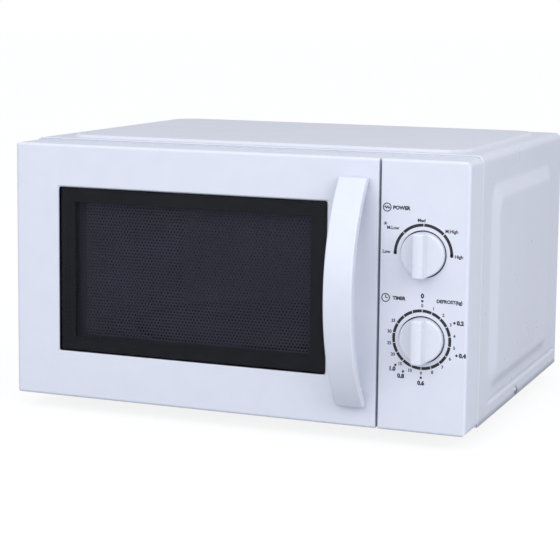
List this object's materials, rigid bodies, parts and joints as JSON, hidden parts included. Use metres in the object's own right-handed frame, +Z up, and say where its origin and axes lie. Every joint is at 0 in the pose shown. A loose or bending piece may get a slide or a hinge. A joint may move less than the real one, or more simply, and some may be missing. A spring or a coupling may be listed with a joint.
{
  "type": "microwave oven",
  "caption": "White countertop microwave oven: side-hung glass door with a bowed pull handle, power and timer dials, and a glass turntable in a steel cavity.",
  "frame": {"origin": "centre of the oven's overall box in plan, on the surface that its feet stand on", "axes": "+X to the right across the front, +Y towards the back, so the door faces -Y, and +Z up"},
  "size_m": [0.45, 0.4, 0.2565],
  "materials": {
    "painted_steel_white": "smooth white enamel on pressed steel",
    "galvanised_steel": "plain galvanised sheet",
    "cavity_paint": "pale grey epoxy powder coat",
    "white_moulding": "white moulded plastic, satin gloss",
    "knob_white": "white moulded plastic, satin gloss",
    "window_black": "tinted glass with a black printed border",
    "screen_steel": "perforated steel, dark grey paint",
    "clear_film": "thin clear film",
    "choke_plastic": "dark grey moulded plastic",
    "foot_rubber": "black rubber",
    "screw_steel": "zinc plated steel",
    "black_plastic": "black moulded plastic",
    "ivory_plastic": "ivory heat-resistant plastic",
    "mica": "pressed mica sheet",
    "copper_winding": "varnished copper winding",
    "core_steel": "varnished steel laminations",
    "aluminium_part": "plain aluminium",
    "clear_glass": "clear moulded glass",
    "circuit_board": "green circuit board",
    "red_plastic": "red moulded plastic"
  },
  "bodies": {
    "root": {"cabinet": "painted_steel_white", "base_plate": "galvanised_steel", "rear_plate": "galvanised_steel", "front_plate": "painted_steel_white", "cavity": "cavity_paint", "feet": "foot_rubber", "cabinet_screws": "screw_steel", "rear_screws": "screw_steel", "hinge_upper": "galvanised_steel", "hinge_lower": "galvanised_steel", "cord_gland": "black_plastic", "waveguide": "galvanised_steel", "waveguide_cover": "mica", "control_panel": "white_moulding", "timer_unit": "black_plastic", "timer_bell": "screw_steel", "power_selector": "black_plastic", "latch_board": "ivory_plastic", "primary_switch": "black_plastic", "secondary_switch": "black_plastic", "monitor_switch": "black_plastic", "magnetron_yoke": "galvanised_steel", "magnetron_tube": "aluminium_part", "magnetron_filter": "galvanised_steel", "transformer_core": "core_steel", "transformer_windings": "copper_winding", "hv_capacitor": "aluminium_part", "capacitor_clamp": "galvanised_steel", "hv_diode": "black_plastic", "fan_wall": "ivory_plastic", "fan_motor": "core_steel", "thermal_cutout": "black_plastic", "line_filter_board": "circuit_board", "oven_lamp": "clear_glass", "lamp_holder": "ivory_plastic", "turntable_motor": "galvanised_steel"},
    "door": {"door_frame": "white_moulding", "door_glass": "window_black", "door_inner_panel": "cavity_paint", "door_screen": "screen_steel", "choke_cover": "choke_plastic", "window_film": "clear_film", "handle": "white_moulding", "handle_screws": "screw_steel", "latch_spring": "screw_steel"},
    "latch": {"latch_hooks": "ivory_plastic"},
    "primary_button": {"primary_plunger": "red_plastic"},
    "secondary_button": {"secondary_plunger": "red_plastic"},
    "monitor_button": {"monitor_plunger": "red_plastic"},
    "power_dial": {"power_knob": "knob_white", "power_shaft": "screw_steel"},
    "timer_dial": {"timer_knob": "knob_white", "timer_shaft": "screw_steel"},
    "coupler": {"turntable_coupler": "ivory_plastic"},
    "tray": {"glass_tray": "clear_glass"},
    "ring": {"roller_ring": "ivory_plastic"},
    "wheel_1": {"roller_1": "ivory_plastic"},
    "wheel_2": {"roller_2": "ivory_plastic"},
    "wheel_3": {"roller_3": "ivory_plastic"},
    "fan": {"fan_blade": "ivory_plastic"}
  },
  "joints": [
    {"name": "door_hinge", "type": "hinge", "parent": "root", "child": "door", "pos_m": [-0.209, -0.1285, 0.133], "axis": [0, 0, -1], "range_deg": [0, 95]},
    {"name": "latch_slide", "type": "slide", "parent": "door", "child": "latch", "axis": [0, 0, 1], "range_m": [0, 0.005], "stiffness_N_per_m": 250, "springref_m": -0.003, "deforming": ["latch_spring"]},
    {"name": "primary_press", "type": "slide", "parent": "root", "child": "primary_button", "axis": [0, 1, 0], "range_m": [0, 0.0015], "stiffness_N_per_m": 120, "springref_m": -0.001},
    {"name": "secondary_press", "type": "slide", "parent": "root", "child": "secondary_button", "axis": [0, 1, 0], "range_m": [0, 0.0015], "stiffness_N_per_m": 120, "springref_m": -0.001},
    {"name": "monitor_press", "type": "slide", "parent": "root", "child": "monitor_button", "axis": [0, 1, 0], "range_m": [0, 0.0015], "stiffness_N_per_m": 120, "springref_m": -0.001},
    {"name": "power_turn", "type": "hinge", "parent": "root", "child": "power_dial", "pos_m": [0.1795, -0.156, 0.171], "axis": [0, 1, 0], "range_deg": [-90, 90]},
    {"name": "timer_turn", "type": "hinge", "parent": "root", "child": "timer_dial", "pos_m": [0.1795, -0.156, 0.0966], "axis": [0, 1, 0], "range_deg": [0, 300]},
    {"name": "turntable_spin", "type": "hinge", "parent": "root", "child": "coupler", "pos_m": [-0.046, 0.0305, 0.036], "axis": [0, 0, 1], "continuous": true},
    {"name": "tray_lift", "type": "slide", "parent": "coupler", "child": "tray", "axis": [0, 0, 1], "range_m": [0, 0.04]},
    {"name": "ring_spin", "type": "hinge", "parent": "root", "child": "ring", "pos_m": [-0.046, 0.0305, 0.043], "axis": [0, 0, 1], "continuous": true},
    {"name": "fan_spin", "type": "hinge", "parent": "root", "child": "fan", "pos_m": [0.164, 0.152, 0.19], "axis": [0, 1, 0], "continuous": true},
    {"name": "wheel_1_spin", "type": "hinge", "parent": "ring", "child": "wheel_1", "pos_m": [-0.046, 0.1185, 0.043], "axis": [0, 1, 0], "continuous": true},
    {"name": "wheel_2_spin", "type": "hinge", "parent": "ring", "child": "wheel_2", "pos_m": [-0.12221, -0.0135, 0.043], "axis": [-0.866, -0.5, 0], "continuous": true},
    {"name": "wheel_3_spin", "type": "hinge", "parent": "ring", "child": "wheel_3", "pos_m": [0.03021, -0.0135, 0.043], "axis": [0.866, -0.5, 0], "continuous": true}
  ],
  "couplings": [
    {"joint": "ring_spin", "follows": "turntable_spin", "ratio": 0.5},
    {"joint": "secondary_press", "follows": "primary_press", "ratio": 1},
    {"joint": "monitor_press", "follows": "primary_press", "ratio": 1},
    {"joint": "wheel_1_spin", "follows": "turntable_spin", "ratio": -6.5672},
    {"joint": "wheel_2_spin", "follows": "turntable_spin", "ratio": -6.5672},
    {"joint": "wheel_3_spin", "follows": "turntable_spin", "ratio": -6.5672}
  ]
}
